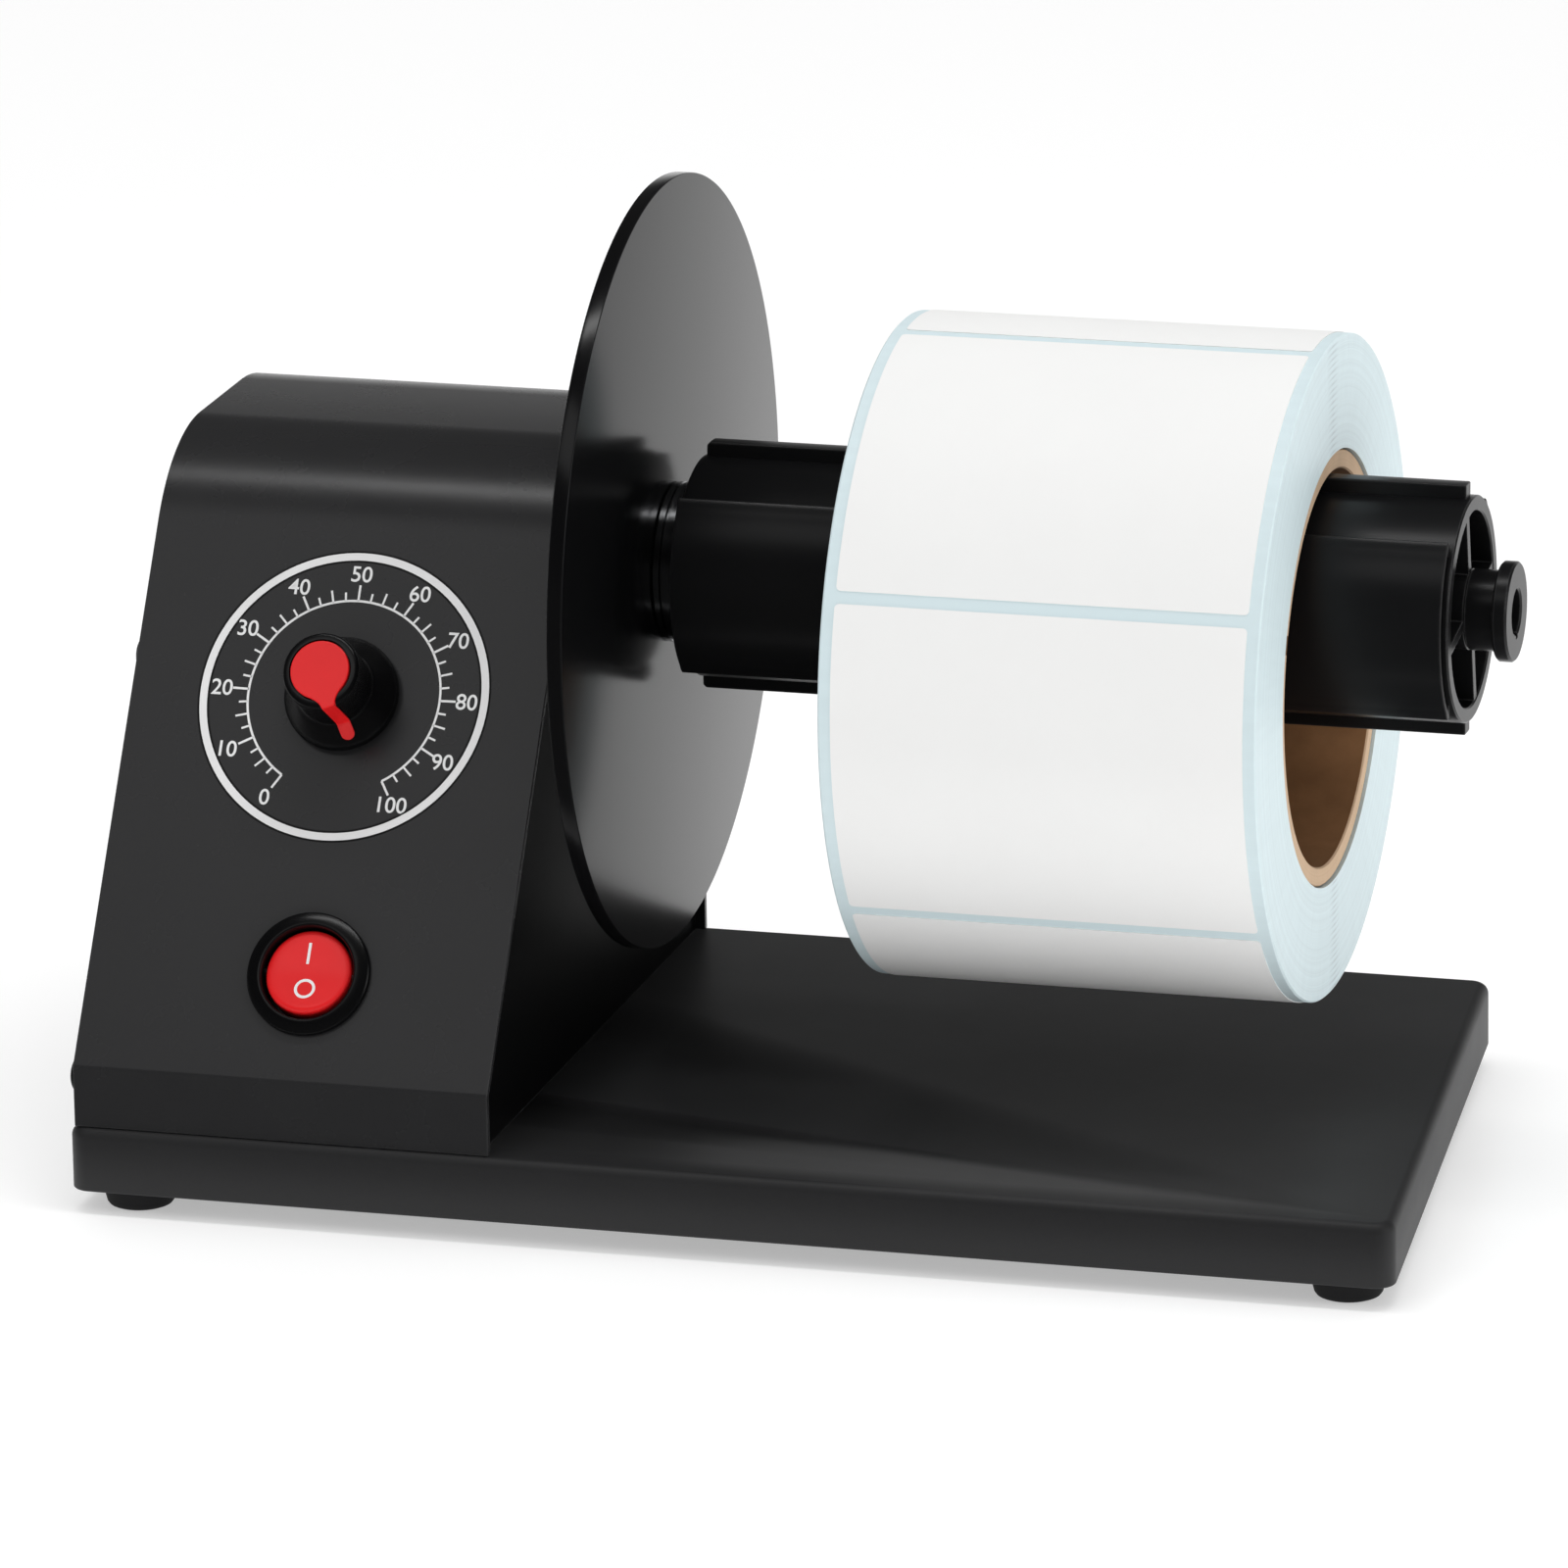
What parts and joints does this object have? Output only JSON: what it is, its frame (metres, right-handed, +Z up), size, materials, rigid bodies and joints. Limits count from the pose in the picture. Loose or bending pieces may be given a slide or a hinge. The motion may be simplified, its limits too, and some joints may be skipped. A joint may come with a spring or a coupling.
{
  "type": "label rewinder",
  "caption": "Tabletop label rewinder with a slanted control housing, flange disc, ribbed mandrel and a roll of labels on a folded steel base.",
  "frame": {"origin": "on the surface it stands on, under the middle of its bounding box", "axes": "+X along the spindle to its free end, +Y from the front to the rear, +Z up"},
  "size_m": [0.2664, 0.155, 0.1888],
  "materials": {
    "tray_paint": "fine texture, matt black",
    "panel_paint": "fine texture, satin black",
    "foot_rubber": "matt",
    "zinc_steel": "zinc plated",
    "bright_steel": "ground",
    "dark_steel": "blackened",
    "disc_paint": "smooth satin black",
    "moulded_black": "moulded satin",
    "signal_red": "moulded gloss",
    "cardboard": "wound cardboard, matt",
    "label_liner": "coated paper, satin",
    "belt_rubber": "matt",
    "circuit_green": "lacquered board",
    "brass": "plain"
  },
  "bodies": {
    "base": {"base_tray": "tray_paint", "foot_front_left": "foot_rubber", "foot_front_right": "foot_rubber", "foot_rear_left": "foot_rubber", "foot_rear_right": "foot_rubber", "foot_screw_front_left": "zinc_steel", "foot_screw_front_right": "zinc_steel", "foot_screw_rear_left": "zinc_steel", "foot_screw_rear_right": "zinc_steel", "housing_cover": "panel_paint", "cover_screw_1": "zinc_steel", "cover_screw_2": "zinc_steel", "cover_screw_3": "zinc_steel", "cover_screw_4": "zinc_steel", "side_plate_left": "panel_paint", "side_plate_right": "panel_paint", "bulkhead": "zinc_steel", "tie_post_front_low": "bright_steel", "tie_post_front_high": "bright_steel", "tie_post_rear_low": "bright_steel", "tie_post_rear_high": "bright_steel", "side_screw_front_low": "dark_steel", "side_screw_front_high": "dark_steel", "side_screw_rear_low": "dark_steel", "side_screw_rear_high": "dark_steel", "bearing_block_inner": "zinc_steel", "bearing_block_outer": "zinc_steel", "bearing_inner": "bright_steel", "bearing_outer": "bright_steel", "drive_belt": "belt_rubber", "motor_gearbox": "bright_steel", "motor_can": "dark_steel", "potentiometer": "bright_steel", "potentiometer_nut": "brass", "switch_body": "moulded_black", "control_board": "circuit_green", "board_standoff_1": "brass", "board_standoff_2": "brass", "board_standoff_3": "brass", "board_standoff_4": "brass", "power_inlet": "moulded_black", "power_inlet_nut": "zinc_steel"},
    "spindle": {"spindle_shaft": "bright_steel", "retaining_clip": "dark_steel", "driven_pulley": "moulded_black", "flange_disc": "disc_paint", "hub_collar": "dark_steel", "mandrel": "moulded_black", "end_bush": "dark_steel"},
    "motor_output": {"motor_shaft": "bright_steel", "drive_pulley": "moulded_black"},
    "knob": {"speed_knob": "moulded_black", "knob_cap": "signal_red", "potentiometer_shaft": "bright_steel"},
    "rocker": {"switch_rocker": "signal_red"},
    "core": {"roll_core": "cardboard"},
    "labels": {"label_roll": "label_liner"}
  },
  "joints": [
    {"name": "spindle_spin", "type": "hinge", "parent": "base", "child": "spindle", "pos_m": [0, 0.0025, 0.1138], "axis": [1, 0, 0], "continuous": true},
    {"name": "motor_spin", "type": "hinge", "parent": "base", "child": "motor_output", "pos_m": [-0.12, 0.0225, 0.06], "axis": [1, 0, 0], "continuous": true},
    {"name": "roll_slide", "type": "slide", "parent": "base", "child": "core", "axis": [1, 0, 0], "range_m": [-0.046, 0.125]},
    {"name": "roll_turn", "type": "hinge", "parent": "core", "child": "labels", "pos_m": [0.055, 0.0025, 0.1005], "axis": [1, 0, 0], "continuous": true},
    {"name": "knob_turn", "type": "hinge", "parent": "base", "child": "knob", "pos_m": [-0.08853, -0.03412, 0.09349], "axis": [0, -0.8387, 0.5446], "range_deg": [0, 317]},
    {"name": "switch_rock", "type": "hinge", "parent": "base", "child": "rocker", "pos_m": [-0.08703, -0.06351, 0.0464], "axis": [1, 0, 0], "range_deg": [0, 14]}
  ],
  "couplings": [
    {"joint": "motor_spin", "follows": "spindle_spin", "ratio": 1.75},
    {"joint": "roll_turn", "follows": "spindle_spin", "ratio": 0.643}
  ]
}
